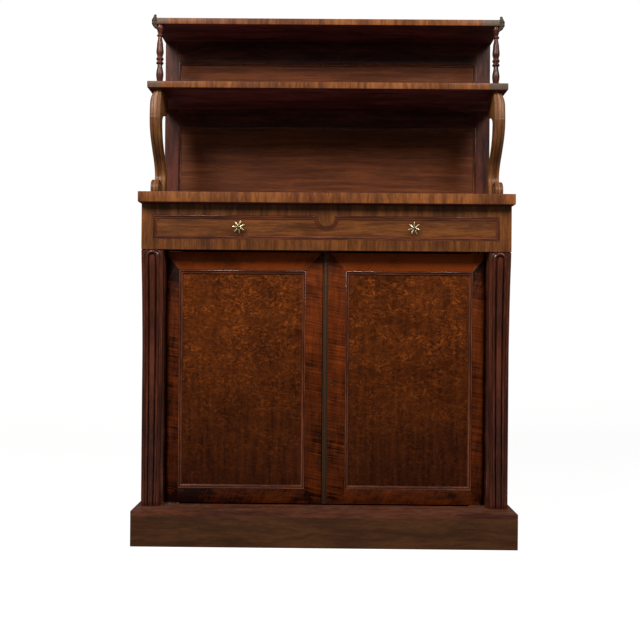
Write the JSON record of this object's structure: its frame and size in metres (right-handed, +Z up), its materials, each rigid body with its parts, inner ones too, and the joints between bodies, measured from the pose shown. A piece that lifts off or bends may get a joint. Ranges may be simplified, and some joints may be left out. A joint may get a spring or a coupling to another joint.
{
  "type": "chiffonier",
  "caption": "Chiffonier: framed doors between carved scroll pilasters under a frieze drawer with star knobs, and an open shelved superstructure on consoles and turned columns.",
  "frame": {"origin": "on the floor, in the middle of the plinth's footprint", "axes": "+X to the right, +Y to the back, +Z up; the doors and the drawer face -Y"},
  "size_m": [0.9826, 0.388, 1.428],
  "materials": {
    "case_wood": "dark figured mahogany, french polished",
    "top_wood": "golden mahogany with cross-banded edges, french polished",
    "door_frame_wood": "cross-grained mahogany veneer, french polished",
    "door_panel_wood": "mottled plum-pudding mahogany veneer, french polished",
    "moulding_wood": "dark ovolo moulding, french polished",
    "carved_wood": "carved and reeded mahogany, french polished",
    "back_wood": "straight-grained mahogany panel, polished",
    "drawer_front_wood": "cross-banded mahogany veneer, french polished",
    "drawer_lining_wood": "red mahogany lining, waxed",
    "secondary_wood": "unpolished pine and mahogany",
    "brass": "aged brass",
    "lock_iron": "aged iron"
  },
  "bodies": {
    "carcase": {"plinth_front": "case_wood", "plinth_sides": "case_wood", "plinth_back": "secondary_wood", "plinth_top": "case_wood", "carcase_side_left": "case_wood", "carcase_side_right": "case_wood", "carcase_back": "secondary_wood", "cupboard_floor": "drawer_lining_wood", "cupboard_shelf": "drawer_lining_wood", "shelf_bearers": "secondary_wood", "drawer_rail": "drawer_lining_wood", "drawer_runners": "secondary_wood", "dust_board": "secondary_wood", "catch_block": "case_wood", "main_top": "top_wood", "pilaster_right": "carved_wood", "pilaster_left": "carved_wood", "pivot_sockets": "brass", "back_stile_left": "back_wood", "back_stile_right": "back_wood", "back_rail_bottom": "back_wood", "back_rail_middle": "back_wood", "back_rail_top": "back_wood", "back_panel_lower": "back_wood", "back_panel_upper": "back_wood", "back_mouldings": "moulding_wood", "middle_shelf": "top_wood", "top_board": "top_wood", "console_right": "carved_wood", "console_left": "carved_wood", "turned_columns": "carved_wood", "corner_tips": "carved_wood"},
    "left_door": {"left_door_hinge_stile": "door_frame_wood", "left_door_meeting_stile": "door_frame_wood", "left_door_top_rail": "door_frame_wood", "left_door_bottom_rail": "door_frame_wood", "left_door_panel": "door_panel_wood", "left_door_moulding": "moulding_wood", "left_door_pivots": "brass", "door_bolt_plates": "brass"},
    "right_door": {"right_door_hinge_stile": "door_frame_wood", "right_door_meeting_stile": "door_frame_wood", "right_door_top_rail": "door_frame_wood", "right_door_bottom_rail": "door_frame_wood", "right_door_panel": "door_panel_wood", "right_door_moulding": "moulding_wood", "right_door_pivots": "brass", "lock_case": "lock_iron", "escutcheon": "brass", "meeting_strip": "brass"},
    "drawer": {"drawer_front": "drawer_front_wood", "drawer_moulding": "moulding_wood", "drawer_side_left": "drawer_lining_wood", "drawer_side_right": "drawer_lining_wood", "drawer_bottom": "drawer_lining_wood", "drawer_back": "drawer_lining_wood", "star_knobs": "brass"},
    "lock_bolt": {"lock_bolt": "brass"},
    "door_bolt_top": {"door_bolt_top": "brass"},
    "door_bolt_bottom": {"door_bolt_bottom": "brass"}
  },
  "joints": [
    {"name": "left_door_swing", "type": "hinge", "parent": "carcase", "child": "left_door", "pos_m": [-0.4112, -0.088, 0.4255], "axis": [0, 0, -1], "range_deg": [0, 90]},
    {"name": "right_door_swing", "type": "hinge", "parent": "carcase", "child": "right_door", "pos_m": [0.4112, -0.088, 0.4255], "axis": [0, 0, 1], "range_deg": [0, 90]},
    {"name": "drawer_slide", "type": "slide", "parent": "carcase", "child": "drawer", "axis": [0, -1, 0], "range_m": [0, 0.3]},
    {"name": "lock_bolt_throw", "type": "slide", "parent": "right_door", "child": "lock_bolt", "axis": [-1, 0, 0], "range_m": [0, 0.008]},
    {"name": "door_bolt_top_slide", "type": "slide", "parent": "left_door", "child": "door_bolt_top", "axis": [0, 0, 1], "range_m": [0, 0.014]},
    {"name": "door_bolt_bottom_slide", "type": "slide", "parent": "left_door", "child": "door_bolt_bottom", "axis": [0, 0, -1], "range_m": [0, 0.014]}
  ]
}
